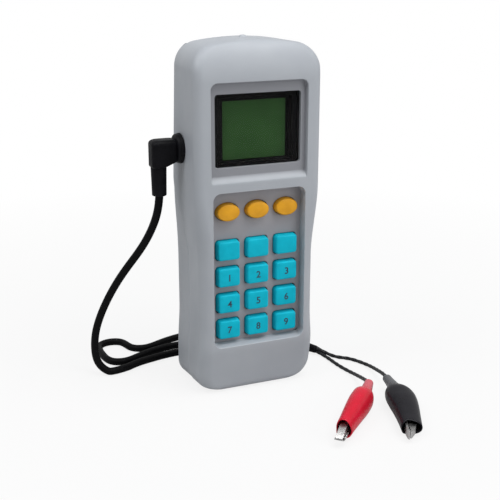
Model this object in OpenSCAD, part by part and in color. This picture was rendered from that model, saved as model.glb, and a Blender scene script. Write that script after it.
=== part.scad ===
// Hand-held component tester: two-part case with a sunken display and a fifteen-key
// pad, and a right-angle test lead that ends in a red and a black crocodile clip.
// X runs to the right across the keypad, Y into the case, Z up along the case.
// The origin is the middle of the flat bottom end.

/* [Case] */
// Width of the case across the head
head_w = 65.8; // [63:0.1:68]
// Depth from the front face to the back face
case_d = 39; // [38.5:0.1:42]
// Height of the crown without the moulded pip
case_h = 178; // [177:0.5:182]
// How far each side draws in from the head to the grip
waist_in = 2.3; // [0.5:0.1:2.5]
// Height at which the sides start to draw in
shoulder_z = 107; // [104:1:110]
// Height over which the sides draw in
shoulder_h = 38; // [28:1:42]
// How far the sides flare out again above the bottom end
foot_flare = 1.2; // [0:0.1:1.5]
// How far the rear edges of the sides stand out beyond the front edges in the grip
rear_out = 0.9; // [0:0.1:1.2]
// Height at which the rear and front edges of the sides are the same width
rear_even_z = 102.5; // [96:0.5:110]
// Radius of the two bottom corners at the front
foot_r = 11; // [9:0.5:15]
// Radius of the two bottom corners at the rear
foot_rear_r = 8.5; // [7:0.5:12]
// Roll of the bottom edge of the chin
foot_roll = 4; // [2.5:0.5:6]
// Radius of the two top corners
crown_r = 10; // [9:0.5:12]
// Height below the crown at which the front face starts to roll back
brow_h = 19; // [16:1:20]
// How far the brow rolls back
brow_d = 10; // [8:0.5:14]
// Roll of the top edge of the back
nape_r = 9; // [5:0.5:10]
// Height of the ridge between the front face and the chin
chin_z = 25; // [24:0.5:25.5]
// How far the chin slopes back
chin_in = 4.5; // [2:0.5:5]
// Wall thickness of the shells
wall = 2.2; // [1.8:0.1:2.4]

/* [Display] */
// Width of the sunken surround
surround_w = 50.4; // [49:0.1:52]
// Height of the sunken surround
surround_h = 45; // [44:0.1:46]
// Height of the middle of the surround above the bottom end
surround_z = 136.7; // [136:0.1:138]
// Depth of the surround below the front face
surround_in = 2.5; // [1.5:0.1:3]
// Width of the clear window
window_w = 44.4; // [42:0.1:45]
// Height of the clear window
window_h = 35; // [33:0.1:35.5]
// Height of the middle of the window above the bottom end
window_z = 136; // [135.5:0.1:136.5]

/* [Keypad] */
// Distance between key columns
key_dx = 15.5; // [15.4:0.1:15.8]
// Distance between key rows
key_dz = 13.8; // [13.6:0.05:13.9]
// Height of the top row of square keys above the bottom end
key_top_z = 76.6; // [76.5:0.1:77]
// Height of the oval keys above the top row of square keys
oval_dz = 19.4; // [19:0.1:20]
// Width of a square key
key_w = 12.4; // [11:0.1:12.6]
// Height of a square key
key_h = 10.4; // [9:0.1:10.6]
// Width of an oval key
oval_w = 12.4; // [11:0.1:12.6]
// Height of an oval key
oval_h = 9; // [7.5:0.1:9.4]
// How far the keys stand out of the panel
key_proud = 3.5; // [2.5:0.1:4]
// Clearance round a key
key_gap = 0.25; // [0.15:0.05:0.4]
// Width of the keypad recess
pad_w = 48.8; // [48:0.1:49.4]
// Height of the keypad recess
pad_h = 78.6; // [78:0.1:79]
// Height of the middle of the keypad recess
pad_z = 67.2; // [67:0.1:67.5]
// Depth of the panel below the front face
pad_in = 5.5; // [5:0.1:6]

/* [Test lead] */
// Height of the lead socket above the bottom end
socket_z = 125.7; // [124:0.1:127]
// Depth position of the lead socket
socket_y = 3.4; // [3:0.1:5]
// Radius of the hollow plug barrel
barrel_r = 2.75; // [2.5:0.05:2.75]
// Radius of the test cable
cable_r = 2; // [1.5:0.1:2]
// Radius of each clip lead
lead_r = 1; // [0.8:0.1:1]

/* [Clips] */
// Length of a clip from the wire end to the tip
clip_len = 54; // [54:0.5:56]
// Distance from the wire end to the hinge pin
pin_x = 29.5; // [29.5:0.1:30]
// Radius of the hinge pin
pin_r = 1; // [0.8:0.05:1.1]
// Half width of the boot at its widest
boot_w = 5.3; // [5.3:0.05:5.6]
// Height of the boot above its middle line at the highest place
boot_h = 8.2; // [8:0.05:8.4]
// Wall thickness of the boot
boot_wall = 0.9; // [0.8:0.05:0.95]

/* [Hidden] */

case_grey = "#a9adb0";
panel_grey = "#85868a";
key_cyan = "#1fa9bd";
key_amber = "#dd9f24";
jet = "#17171a";
clip_red = "#c8203a";
bare_metal = "#b4b4b6";
board_green = "#2c6b3f";

front = -case_d / 2;
back = case_d / 2;
pad_y = front + pad_in;              // front of the keypad panel
panel_t = 1;
key_top_y = pad_y - key_proud;
inner_y = pad_y + panel_t + 2;       // inside of the front wall behind the keypad
flange_y = inner_y + 0.1;
board_y = front + 14.4;              // front of the main board
board_t = 1.6;
glass_y = front + 4.1;               // front of the display frame, behind the window
lcd_y = front + 9.2;                // front of the display panel
seam_y = -1;                         // seam of the two shells along the grip
seam_back = back - 3;                // seam behind the head
seam_z0 = 72;
seam_z1 = 112;
head_screw = [24, 167];
foot_screw = [20, 14];
board_screw_x = 10;
board_screw_z = [25, 160];
door_screw_z = 83;
battery_z = 24;
battery_size = [26.4, 17.3, 46.2];
bay_w = 28.4;
door_z = [19, 88];
door_w = 31;
socket_nose_r = 5.5;
collar_x = -head_w / 2 - 0.05;
collar_r = 7.6;
elbow_x = -48.3;
sleeve_x = -44.2;
sleeve_z = [103, 117];
TINY = 0.01;

// ---------- shape helpers ----------

// Smooth step from 0 to 1
function smooth(t) = let (u = min(1, max(0, t))) u * u * (3 - 2 * u);

// Drop of a quarter circle of radius 1, from 0 at t = 0 to 1 at t = 1
function quarter(t) = 1 - sqrt(max(0, 1 - pow(min(1, max(0, t)), 2)));

function unit(v) = v / norm(v);

// Extrudes a shape drawn in X and Z from y0 to y1
module along_y(y0, y1) {
    translate([0, y1, 0]) rotate([90, 0, 0]) linear_extrude(y1 - y0) children();
}

// Extrudes a shape drawn in Y and Z from x0 to x1
module along_x(x0, x1) {
    translate([x0, 0, 0]) rotate([90, 0, 90]) linear_extrude(x1 - x0) children();
}

// Cylinder along Y with its axis at x, z
module post_y(x, z, r, y0, y1) {
    translate([x, y0, z]) rotate([-90, 0, 0]) cylinder(r = r, h = y1 - y0, $fn = 32);
}

// Cylinder along X with its axis at y, z
module post_x(y, z, r, x0, x1) {
    translate([x0, y, z]) rotate([0, 90, 0]) cylinder(r = r, h = x1 - x0, $fn = 40);
}

// Rounded rectangle about a centre
module rounded(w, h, r) {
    square([w - 2 * r, h], center = true);
    square([w, h - 2 * r], center = true);
    for (sx = [-1, 1], sz = [-1, 1]) {
        translate([sx * (w / 2 - r), sz * (h / 2 - r)]) circle(r = r, $fn = 32);
    }
}

// Ellipse as a polygon
module oval(w, h) {
    polygon([for (i = [0:47]) [w / 2 * cos(i * 7.5), h / 2 * sin(i * 7.5)]]);
}

// Closed skin through rings that all have the same number of points; the rings of an
// open half run out along the outside and back along the inside
module skin_of(rings, half = false) {
    n = len(rings[0]);
    m = len(rings);
    points = [for (ring = rings) for (p = ring) p];
    sides = [
        for (i = [0:m - 2], j = [0:n - 1])
            let (a = i * n + j, b = i * n + (j + 1) % n)
                each [[a, a + n, b + n], [a, b + n, b]]
    ];
    start = [for (j = [0:n - 1]) j];
    end = [for (j = [0:n - 1]) (m - 1) * n + n - 1 - j];
    rims = [
        for (j = [0:n / 2 - 2]) let (a = j, b = n - 1 - j, e = (m - 1) * n)
            each [[a, a + 1, b], [a + 1, b - 1, b],
                [e + b, e + a + 1, e + a], [e + b, e + b - 1, e + a + 1]]
    ];
    caps = half ? rims : [start, end];
    polyhedron(points = points, faces = concat(sides, caps), convexity = 6);
}

// Normals carried along a line of tangents without twist
function carried(t, n, k = 0, done = []) =
    k == len(t) ? done
    : let (m = unit(n - (n * t[k]) * t[k])) carried(t, m, k + 1, concat(done, [m]));

// Rings of a round tube of radius r along a route
function tube_rings(route, r, first_normal, sides = 8) =
    let (
        last = len(route) - 1,
        t = [for (i = [0:last]) unit(route[min(i + 1, last)] - route[max(i - 1, 0)])],
        n = carried(t, first_normal)
    )
    [for (i = [0:last]) let (b = cross(t[i], n[i]))
        [for (j = [0:sides - 1]) let (a = -360 * j / sides)
            route[i] + r * (cos(a) * n[i] + sin(a) * b)]];

// ---------- outer form of the case ----------

function side_x(z) = head_w / 2 - waist_in * smooth((shoulder_z - z) / shoulder_h)
    + foot_flare * smooth((42 - z) / 26);

// The rear edges lean in towards the crown and stand out in the grip
function lean(z) = min(rear_out, 0.032 * (rear_even_z - z));

// Height of the crown at a half width a
function crown_z(a) = case_h - 1.5 * pow(a / 20, 2)
    - crown_r * quarter((a - (head_w / 2 - crown_r)) / crown_r);

function front_y(z) =
    z > case_h - brow_h ? front + brow_d * quarter((z - case_h + brow_h) / brow_h)
    : z > chin_z ? front
    : front + chin_in * (chin_z - z) / (chin_z - 4) + foot_roll * quarter((foot_roll - z) / foot_roll);

function back_y(z) = back - 5 * quarter((3 - z) / 3)
    - nape_r * quarter((z - case_h + nape_r) / nape_r);

// Each level of the case is a height, a front half width and a rear half width
low_z = [0, 0.3, 0.9, 1.8, 2.9, 4, 6, 9, 12, 15, 20, 26, 34, 42, 54, 66, 78,
    82, 86, 90, 94, 98, 102, 106, 112, 130, 150, 159];
crown_lean = 1 + 2 * lean(164) / head_w;
crown_a = [0, 0.7, 1.7, 3, 4.6, 6.6, 9, 12, 16, 21, 26];
LEVELS = concat(
    [for (low = low_z) let (z = max(low, 0.3))
        [low, side_x(z) - foot_r * quarter((foot_r - z) / foot_r),
        side_x(z) + lean(z) - foot_rear_r * quarter((foot_rear_r - z) / foot_rear_r)]],
    [for (d = crown_a) let (a = head_w / 2 - d) [crown_z(a), a, a * crown_lean]],
    [[case_h, 2, 2 * crown_lean]]
);

// One level: a rectangle in X and Y with rounded corners
function case_ring(level, inset) =
    let (
        z = level[0],
        w = level[1] - inset,
        wr = level[2] - inset,
        y0 = front_y(max(z, 0.3)) + inset,
        y1 = back_y(max(z, 0.3)) - inset,
        room = min(w, wr, (y1 - y0) / 2) - 0.3,
        rf = min(room, 4.5 + 2.5 * smooth((shoulder_z - z) / shoulder_h)),
        rb = min(room, 4),
        corners = [[-wr, y1, rb, 90], [-w, y0, rf, 180], [w, y0, rf, 270], [wr, y1, rb, 0]]
    )
    [for (c = corners, i = [0:6])
        let (a = -(c[3] + i * 15))
            [c[0] - sign(c[0]) * c[2] + c[2] * cos(-a),
             c[1] - sign(c[1]) * c[2] + c[2] * sin(-a), z]];

module case_form(inset) {
    skin_of([for (level = LEVELS) case_ring(level, inset)]);
}

// Seam line of the two shells in side view
function seam(z) = seam_y + (seam_back - seam_y) * smooth((z - seam_z0) / (seam_z1 - seam_z0));
SEAM = concat([[seam(-5), -5]],
    [for (z = [seam_z0:4:seam_z1]) [seam(z), z]],
    [[seam_back, case_h + 5]]);

// Space inside the case
module case_space(y1) {
    w = head_w / 2 - waist_in - wall;
    shoulder = head_w / 2 - wall - 0.3;
    top = shoulder - 1.5;
    along_y(inner_y, y1) polygon([
        [-19, 4], [19, 4], [w, 14], [w, 80], [shoulder, 108], [top, 162], [20, 171],
        [-20, 171], [-top, 162], [-shoulder, 108], [-w, 80], [-w, 14]
    ]);
    // room for the display frame, and hollows behind the brow and the chin
    translate([0, 0, window_z]) along_y(glass_y + 1.2, inner_y + 1) rounded(50.6, 40.2, 1);
    translate([-24, inner_y - 4, 161.5]) cube([48, 5, 8]);
    translate([-22, inner_y - 2.5, 9]) cube([44, 3, 16]);
}

// ---------- case ----------

// Sill that slopes from the floor of a recess out to the front face
module sill(z, depth, rise, width) {
    along_x(-width / 2, width / 2)
        polygon([[front - 1, z + 6], [front - 1, z - rise - rise / depth],
            [front + depth, z], [front + depth, z + 6]]);
}

module front_shell() {
    color(case_grey) difference() {
        union() {
            difference() {
                intersection() {
                    case_form(0);
                    along_x(-50, 50) polygon(concat([[front - 10, -5]], SEAM,
                        [[front - 10, case_h + 5]]));
                }
                case_space(back);
            }
            for (sx = [-1, 1]) {
                post_y(sx * head_screw[0], head_screw[1], 3.2, inner_y - 4.5, seam_back - 3);
                post_y(sx * foot_screw[0], foot_screw[1], 3.2, inner_y - 4.5, seam_y);
                for (z = board_screw_z) {
                    post_y(sx * board_screw_x, z, 2.4, inner_y - 4.5, board_y);
                }
            }
            // moulded pip in the middle of the crown
            translate([0, 0, case_h - 1]) cylinder(r1 = 2.3, r2 = 1.3, h = 2, $fn = 32);
        }
        // display surround with its sill
        translate([0, 0, surround_z]) along_y(front - 1, front + surround_in)
            rounded(surround_w, surround_h, 3.5);
        sill(surround_z - surround_h / 2, surround_in, 2.8, surround_w - 1);
        // window opening
        translate([0, 0, window_z]) along_y(front - 1, glass_y + 2)
            rounded(window_w + 0.2, window_h + 0.2, 1.5);
        // keypad recess with its sill
        translate([0, 0, pad_z]) along_y(front - 1, pad_y + panel_t) rounded(pad_w, pad_h, 4);
        sill(pad_z - pad_h / 2, pad_in, 1.2, pad_w - 8);
        key_openings(pad_y, inner_y + 1, key_gap);
        // pilot holes, room for the posts of the rear shell, and the socket hole
        for (sx = [-1, 1]) {
            post_y(sx * head_screw[0], head_screw[1], 1.5, 2, back);
            post_y(sx * head_screw[0], head_screw[1], 3.95, seam_back - 2.95, back);
            post_y(sx * foot_screw[0], foot_screw[1], 1.5, -11, back);
            for (z = board_screw_z) {
                post_y(sx * board_screw_x, z, 1.05, inner_y - 0.5, back);
            }
        }
        post_x(socket_y, socket_z, socket_nose_r + 0.05, -head_w, -head_w / 2 + 4);
    }
}

module rear_shell() {
    bay = bay_w / 2 + 1.4;
    color(case_grey) difference() {
        union() {
            difference() {
                intersection() {
                    case_form(0.4);
                    along_x(-50, 50) polygon(concat(
                        [[back + 10, case_h + 5]],
                        [for (i = [len(SEAM) - 1:-1:0]) SEAM[i] + [0.1, 0]],
                        [[back + 10, -5]]));
                }
                case_space(back - 3.2);
            }
            intersection() {
                union() {
                    // battery bay: partition, two side walls and a shelf over the battery
                    translate([-bay, seam_y + 0.1, battery_z - 2]) cube([2 * bay, 0.9, 60]);
                    for (x = [-bay, bay - 1.4]) {
                        translate([x, seam_y + 0.1, battery_z - 2]) cube([1.4, 18, 60]);
                    }
                    translate([-bay, seam_y + 0.1, battery_z - 2]) cube([2 * bay, 18, 1.4]);
                    translate([-bay, seam_y + 0.1, battery_z + 53]) cube([2 * bay, 18, 8]);
                    for (sx = [-1, 1]) {
                        post_y(sx * foot_screw[0], foot_screw[1], 3.8, seam_y + 0.1, back - 1);
                        post_y(sx * head_screw[0], head_screw[1], 3.8, seam_back - 2.9, back - 1);
                    }
                }
                case_form(1);
            }
        }
        // door opening, with a ledge left all round inside
        translate([0, 0, (door_z[0] + door_z[1]) / 2]) along_y(back - 1.9, back + 1)
            rounded(door_w + 0.3, door_z[1] - door_z[0] + 0.3, 2.15);
        translate([-bay_w / 2, seam_y + 1, battery_z - 0.6])
            cube([bay_w, back - seam_y, 53.6]);
        post_y(0, door_screw_z - 2, 1.25, 8, back);
        for (sx = [-1, 1]) {
            post_y(sx * foot_screw[0], foot_screw[1], 1.6, seam_y - 1, back + 1);
            post_y(sx * foot_screw[0], foot_screw[1], 3.1, back - 9, back + 1);
            post_y(sx * head_screw[0], head_screw[1], 1.6, seam_back - 4, back + 1);
            post_y(sx * head_screw[0], head_screw[1], 3.1, back - 3, back + 1);
        }
    }
}

module battery_door() {
    color(case_grey) difference() {
        translate([0, 0, (door_z[0] + door_z[1]) / 2]) along_y(back - 1.85, back - 0.4)
            rounded(door_w, door_z[1] - door_z[0], 2);
        post_y(0, door_screw_z - 2, 1.5, back - 5, back + 1);
        post_y(0, door_screw_z - 2, 2.7, back - 1.2, back + 1);
        // finger grooves
        for (i = [0:4]) {
            translate([-8, back - 0.9, 27 + i * 3]) cube([16, 2, 1.2]);
        }
    }
}

// Cross-head screw along Y: its head at y1, its tip at y0
module screw_y(x, z, r, head_r, head_t, y0, y1) {
    difference() {
        union() {
            post_y(x, z, r, y0, y1 - head_t + TINY);
            post_y(x, z, head_r, y1 - head_t, y1);
        }
        translate([x - head_r * 0.6, y1 - head_t * 0.5, z - 0.3])
            cube([head_r * 1.2, head_t, 0.6]);
        translate([x - 0.3, y1 - head_t * 0.5, z - head_r * 0.6])
            cube([0.6, head_t, head_r * 1.2]);
    }
}

module case_screws() {
    color(bare_metal) for (sx = [-1, 1]) {
        screw_y(sx * head_screw[0], head_screw[1], 1.45, 2.8, 1.8, 3, back - 1.2);
        screw_y(sx * foot_screw[0], foot_screw[1], 1.45, 2.8, 1.8, -10, back - 7.2);
    }
}

module door_screw() {
    color(bare_metal) screw_y(0, door_screw_z - 2, 1.2, 2.4, 0.75, back - 9, back - 0.42);
}

// ---------- display ----------

module display_window() {
    color("#9fb8b0", 0.35) translate([0, 0, window_z])
        along_y(glass_y - 1.3, glass_y - 0.1) rounded(window_w, window_h, 1.4);
}

// Black frame: a nose behind the window, then a ledge, then the opening over the display
module display_frame() {
    color(jet) translate([0, 0, window_z]) difference() {
        union() {
            along_y(glass_y, glass_y + 2) rounded(window_w - 0.1, window_h - 0.1, 1.4);
            along_y(glass_y + 1.3, lcd_y - 0.1) rounded(50, 39.6, 1);
        }
        along_y(glass_y - 1, glass_y + 1.7) rounded(window_w - 1.6, window_h - 1.6, 1);
        translate([0, 0, -0.4]) along_y(glass_y - 1, lcd_y + 1) rounded(38, 31, 0.8);
    }
}

module lcd_panel() {
    color("#47744a") translate([-20.5, lcd_y, window_z - 17.5]) cube([41, 2.4, 34]);
}

module lcd_board() {
    color(board_green) translate([-24.5, lcd_y + 2.5, window_z - 19.5]) cube([49, 1.2, 38]);
}

// ---------- keypad ----------

KEY_ROWS = [for (row = [0:3]) key_top_z - row * key_dz];
oval_z = key_top_z + oval_dz;

// Outline of a key in X and Z, grown by a margin
module key_outline(is_oval, grow) {
    if (is_oval) {
        oval(oval_w + 2 * grow, oval_h + 2 * grow);
    } else {
        rounded(key_w + 2 * grow, key_h + 2 * grow, 2);
    }
}

module key_openings(y0, y1, grow) {
    for (column = [-1:1]) {
        translate([column * key_dx, 0, oval_z]) along_y(y0, y1) key_outline(true, grow);
        for (z = KEY_ROWS) {
            translate([column * key_dx, 0, z]) along_y(y0, y1) key_outline(false, grow);
        }
    }
}

module keypad_panel() {
    color(panel_grey) difference() {
        translate([0, 0, pad_z]) along_y(pad_y, pad_y + panel_t)
            rounded(pad_w - 0.1, pad_h - 0.1, 3.95);
        key_openings(pad_y - 1, pad_y + 2, key_gap);
    }
}

// A key: cap with eased top edges, and a flange behind the front wall that holds it in
module key(column, z, is_oval) {
    ease = 0.6;
    color(is_oval ? key_amber : key_cyan) translate([column * key_dx, 0, z]) {
        along_y(key_top_y + ease, flange_y) key_outline(is_oval, 0);
        hull() {
            along_y(key_top_y, key_top_y + TINY) key_outline(is_oval, -ease);
            along_y(key_top_y + ease, key_top_y + ease + TINY) key_outline(is_oval, 0);
        }
        along_y(flange_y, flange_y + 1) key_outline(is_oval, 1);
    }
}

// Rubber mat on the board, with a dome under each key drawn as pressed flat
module key_mat() {
    color("#c9ccc8") {
        translate([-pad_w / 2, board_y - 1.5, pad_z - pad_h / 2])
            cube([pad_w, 1.5, pad_h]);
        for (column = [-1:1], z = concat(KEY_ROWS, [oval_z])) {
            post_y(column * key_dx, z, 3.2, flange_y + 2.4, board_y - 1.4);
        }
    }
}

// ---------- inside ----------

module main_board() {
    color(board_green) difference() {
        translate([-25, board_y, 21]) cube([50, board_t, 142]);
        for (sx = [-1, 1], z = board_screw_z) {
            post_y(sx * board_screw_x, z, 1.3, board_y - 1, board_y + 3);
        }
    }
}

module board_screws() {
    color(bare_metal) for (sx = [-1, 1], z = board_screw_z) {
        screw_y(sx * board_screw_x, z, 1, 1.9, 1.2, board_y - 4, board_y + board_t + 1.2);
    }
}

module board_chips() {
    y = board_y + board_t;
    color(jet) {
        translate([-6, y, 92]) cube([12, 1.5, 12]);
        translate([-16, y, 108]) cube([6, 1.5, 9]);
        translate([8, y, 118]) cube([5, 2, 11]);
    }
}

module buzzer() {
    y = board_y + board_t;
    color(jet) difference() {
        post_y(14, 145, 6, y, y + 7);
        post_y(14, 145, 1, y + 3, y + 8);
    }
}

module battery() {
    color("#3c4a5a") translate([-battery_size[0] / 2, 0.1, battery_z]) cube(battery_size);
}

module battery_terminals() {
    color(bare_metal) for (x = [-6.35, 6.35]) {
        translate([x, 0.1 + battery_size[1] / 2, battery_z + battery_size[2]])
            cylinder(r = 2.9, h = 2.6, $fn = 32);
    }
}

// Block that the terminals press on, fixed under the shelf of the battery bay
module battery_contacts() {
    color(jet) translate([-13, 2, battery_z + battery_size[2] + 2.7]) cube([26, 13, 4]);
}

// ---------- lead socket and plug ----------

module lead_socket() {
    color(jet) difference() {
        union() {
            post_x(socket_y, socket_z, socket_nose_r, -head_w / 2 + 0.75, -head_w / 2 + 4.7);
            translate([-head_w / 2 + 3.7, board_y + board_t + 0.1, socket_z - 6.5])
                cube([12, 13.4, 13]);
        }
        post_x(socket_y, socket_z, barrel_r + 0.05, -head_w, -21);
        post_x(socket_y, socket_z, 1.2, -22, 0);
    }
}

module socket_pin() {
    color(bare_metal) post_x(socket_y, socket_z, 1.2, -28, -17);
}

module plug_barrel() {
    color(bare_metal) difference() {
        post_x(socket_y, socket_z, barrel_r, collar_x, collar_x + 10);
        post_x(socket_y, socket_z, 1.3, collar_x + 1, collar_x + 11);
    }
}

// Right-angle body: collar against the case, block, and a web that slopes to the sleeve
module plug_body() {
    w = collar_x - 1.5 - elbow_x;
    color(jet) {
        translate([collar_x - 3, socket_y, socket_z]) rotate([0, 90, 0])
            cylinder(r1 = collar_r - 0.6, r2 = collar_r, h = 3, $fn = 40);
        intersection() {
            along_y(socket_y - 5, socket_y + 5) {
                translate([elbow_x + w / 2, socket_z - 0.35]) rounded(w, 10.7, 2.5);
                translate([elbow_x + 3.9, socket_z - 4.5]) rounded(7.8, 8.4, 2);
                polygon([[elbow_x + 6, sleeve_z[1]], [collar_x - 2, socket_z - 5.4],
                    [collar_x - 2, socket_z], [elbow_x + 6, socket_z]]);
            }
            translate([elbow_x + w / 2, socket_y, sleeve_z[1] - 1]) linear_extrude(20)
                rounded(w, 10, 3);
        }
    }
}

module plug_sleeve() {
    color(jet) translate([sleeve_x, socket_y, sleeve_z[0]])
        cylinder(r1 = 3.6, r2 = 3.9, h = sleeve_z[1] - sleeve_z[0], $fn = 40);
}

// ---------- cable and clip leads ----------

// Route of the test cable: down from the plug, round on the table, behind the case,
// back in a small loop, behind the case again over its own bend, and out to the right
CABLE = [
    [-44.2, 3.4, 103], [-44.8, 4.2, 96.5], [-47, 7.5, 86], [-52, 13, 73.5],
    [-58.5, 18.5, 62], [-65, 23.5, 49.5], [-70, 27, 37.5], [-73.4, 29, 26],
    [-74.2, 30, 15], [-72, 30, 6.3], [-67.2, 28.5, 2.1], [-55.2, 31, 2.1],
    [-42.4, 36, 2.1], [-24, 39.2, 2.1], [3, 39.3, 2.1], [11, 43, 2.1], [14, 49.5, 2.1],
    [11, 56, 2.1], [3, 59.8, 2.1], [-10, 61, 2.1], [-22, 59, 2.1], [-32, 55, 2.1],
    [-42.3, 52.2, 2.1], [-46.6, 54.4, 2.1], [-49, 60, 2.1], [-51.3, 65.7, 2.1],
    [-57, 68, 2.1], [-62.7, 65.7, 2.1], [-65, 60, 2.1], [-65.2, 52, 2.1],
    [-64.4, 45, 2.1], [-61.8, 40.2, 2.1], [-56.8, 38.4, 2.1], [-48, 41.6, 2.1],
    [-28, 48.4, 2.1], [-4, 49.5, 3.2], [13, 47, 6.6], [27, 39, 3.4], [37, 28.5, 2.3],
    [43, 19, 3.1]
];
SPLIT_END = [47.6, 10.2, 3.1];
RED_LEAD = [
    [47.6, 10.2, 2.05], [49.7, 5.1, 1.2], [50.6, -3.6, 1.1], [51.4, -12, 1.1],
    [52.5, -20.4, 1.5], [52.4, -27, 2.6], [51.4, -33.2, 4.2], [50, -39.8, 6],
    [48.8, -44.8, 7.3], [47.5, -49.4, 8.3]
];
BLACK_LEAD = [
    [47.6, 10.2, 4.15], [51.2, 6.6, 2.2], [55.3, 1.3, 1.1], [60.1, -3.3, 1.1],
    [64, -9.8, 1.1], [65.7, -17, 1.6], [65.2, -25.1, 3], [63.9, -32.5, 4.6],
    [62.7, -38.6, 5.7], [61.1, -44.3, 6.3]
];

module test_cable() {
    color(jet) skin_of(tube_rings(CABLE, cable_r, [0, -1, 0]));
}

module lead_splitter() {
    start = CABLE[len(CABLE) - 1];
    run = SPLIT_END - start;
    color(jet) translate(start)
        rotate([0, 90, atan2(run[1], run[0])]) cylinder(r1 = 2.35, r2 = 2.1, h = norm(run), $fn = 32);
}

module red_lead() {
    color(jet) skin_of(tube_rings(RED_LEAD, lead_r, [1, 0, 0]));
}

module black_lead() {
    color(jet) skin_of(tube_rings(BLACK_LEAD, lead_r, [1, 0, 0]));
}

// ---------- crocodile clips ----------
// Each clip is drawn from its wire end at the origin to its tip along X, with the hinge
// pin along Y, and is then laid on the table: the red one upright, the black one on its
// side. A place is X, Y, Z, then roll, nose-down tilt and heading.

RED_CLIP = [47.5, -51.5, 8.2, 0, 4, 225];
BLACK_CLIP = [63.2, -49, 6.2, -90, 2, 246.5];

// Where the wire enters the soft neck, in the frame of the clip
RED_WIRE = [-1.5, -1.5, 0];
BLACK_WIRE = [-3.5, 0, -3.8];

module lay_clip(place) {
    translate([place[0], place[1], place[2]])
        rotate([place[3], place[4], place[5]]) children();
}

// Extrudes a side profile drawn in X and Z to a half width
module clip_profile(points, half) {
    along_y(-half, half) polygon(points);
}

lower_half = 2.3;
upper_half = 1.7;

// Row of teeth behind the tip: heights alternate between lo and hi
function teeth(lo, hi) = [for (i = [0:10]) [52.5 - i, i % 2 == 0 ? hi : lo]];

module lower_jaw() {
    color(bare_metal) difference() {
        clip_profile(concat(
            [[13.5, -3.4], [16, -4.3], [19, -4.7], [25, -4], [31, -3], [35, -2.45],
             [41, -1.7], [44, -1.4], [50, -1.35], [52.5, -1.05], [clip_len, -0.5],
             [clip_len, -0.1]],
            teeth(-0.5, -0.1),
            [[41.5, -0.6], [33.5, -0.6], [32, 1.7], [27, 1.7], [24.5, -3.2],
             [19, -3.9], [16, -3.5], [13.5, -2.6]]), lower_half);
        clip_profile([[24.3, -3], [31, -2.3], [35, -1.8], [41, -1.1], [44, -0.9],
            [52, -0.8], [52, 8], [24.3, 8]], lower_half - 0.55);
        translate([pin_x, 4, 0]) rotate([90, 0, 0]) cylinder(r = pin_r + 0.03, h = 8, $fn = 32);
    }
}

module upper_jaw() {
    color(bare_metal) difference() {
        clip_profile(concat(
            [[14, 4.4], [19, 6], [25, 5.7], [31, 4.9], [42, 4.2], [47, 3.8], [50, 2.9],
             [52, 1.9], [53.4, 1.1], [clip_len, 0.6], [clip_len, 0.1]],
            teeth(0.6, 0.1),
            [[41.5, 0.6], [33.5, 0.6], [32, -1.7], [27, -1.7], [24.5, 4.8],
             [19, 5.2], [14, 3.6]]), upper_half);
        clip_profile([[24.3, 4.7], [31, 4.1], [42, 3.4], [47, 3], [50, 2.1], [51.4, 1.2],
            [51.4, -8], [24.3, -8]], upper_half - 0.55);
        translate([pin_x, 4, 0]) rotate([90, 0, 0]) cylinder(r = pin_r + 0.03, h = 8, $fn = 32);
    }
}

module hinge_pin() {
    color(bare_metal) translate([pin_x, 0, 0]) rotate([90, 0, 0]) {
        translate([0, 0, -2.9]) cylinder(r = pin_r, h = 5.8, $fn = 32);
        for (side = [-1, 1]) {
            translate([0, 0, side * 2.62 - 0.28]) cylinder(r = 1.6, h = 0.56, $fn = 32);
        }
    }
}

// Round rod from a to b
module rod(a, b, r) {
    run = b - a;
    translate(a) rotate([0, acos(run[2] / norm(run)), atan2(run[1], run[0])])
        cylinder(r = r, h = norm(run), $fn = 24);
}

// Two coils on the pin, and a leg that presses on each handle
module clip_spring() {
    color(bare_metal) for (side = [-1, 1]) {
        rod([pin_x, side * 0.86, side * 1.4],
            [pin_x - 10, side * 0.86, side > 0 ? 4.8 : -3.5], 0.26);
    }
    color(bare_metal) translate([pin_x, 0, 0]) rotate([90, 0, 0]) {
        for (y = [-0.3, 0.3]) {
            translate([0, 0, y]) rotate_extrude($fn = 32) translate([1.4, 0])
                circle(r = 0.26, $fn = 16);
        }
    }
}

// Stations of the boot: distance, half width, and its height above and below the middle
BOOT = [
    [14.6, boot_w, 7, 7.1], [18, boot_w, 8, 6.9], [23, boot_w + 0.05, boot_h, 6.1],
    [29, boot_w - 0.25, 8, 5], [35, 4.6, 7.6, 4.2], [41, 4.15, 7.2, 3.6], [47, 3.8, 6.8, 3.2]
];
LOWER_BOOT = concat([[8, 3, 3, 3.8], [10, 4.1, 4, 5.6], [12, 5, 5.6, 6.8]], BOOT);

// Height of the free edge: the halves part behind the pin, and are cut back at the mouth
function boot_edge(x) = 0.25 + max(0, (pin_x - x) * tan(11)) + max(0, (x - 44) * 0.5);

// Open half of a boot: side is -1 for the lower half and 1 for the upper half
function boot_ring(station, side) =
    let (
        x = station[0],
        w = station[1],
        h = side > 0 ? station[2] : station[3],
        edge = min(0.9 * (h - boot_wall), boot_edge(x)),
        a0 = asin(edge / h),
        a1 = asin(edge / (h - boot_wall)),
        outer = [for (i = [0:10]) let (a = a0 + (90 - a0) * i / 5)
            [x, w * cos(a), side * h * sin(a)]],
        inner = [for (i = [10:-1:0]) let (a = a1 + (90 - a1) * i / 5)
            [x, (w - boot_wall) * cos(a), side * (h - boot_wall) * sin(a)]]
    )
    side > 0 ? concat(outer, inner) : [for (i = [21:-1:0]) concat(outer, inner)[i]];

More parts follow.
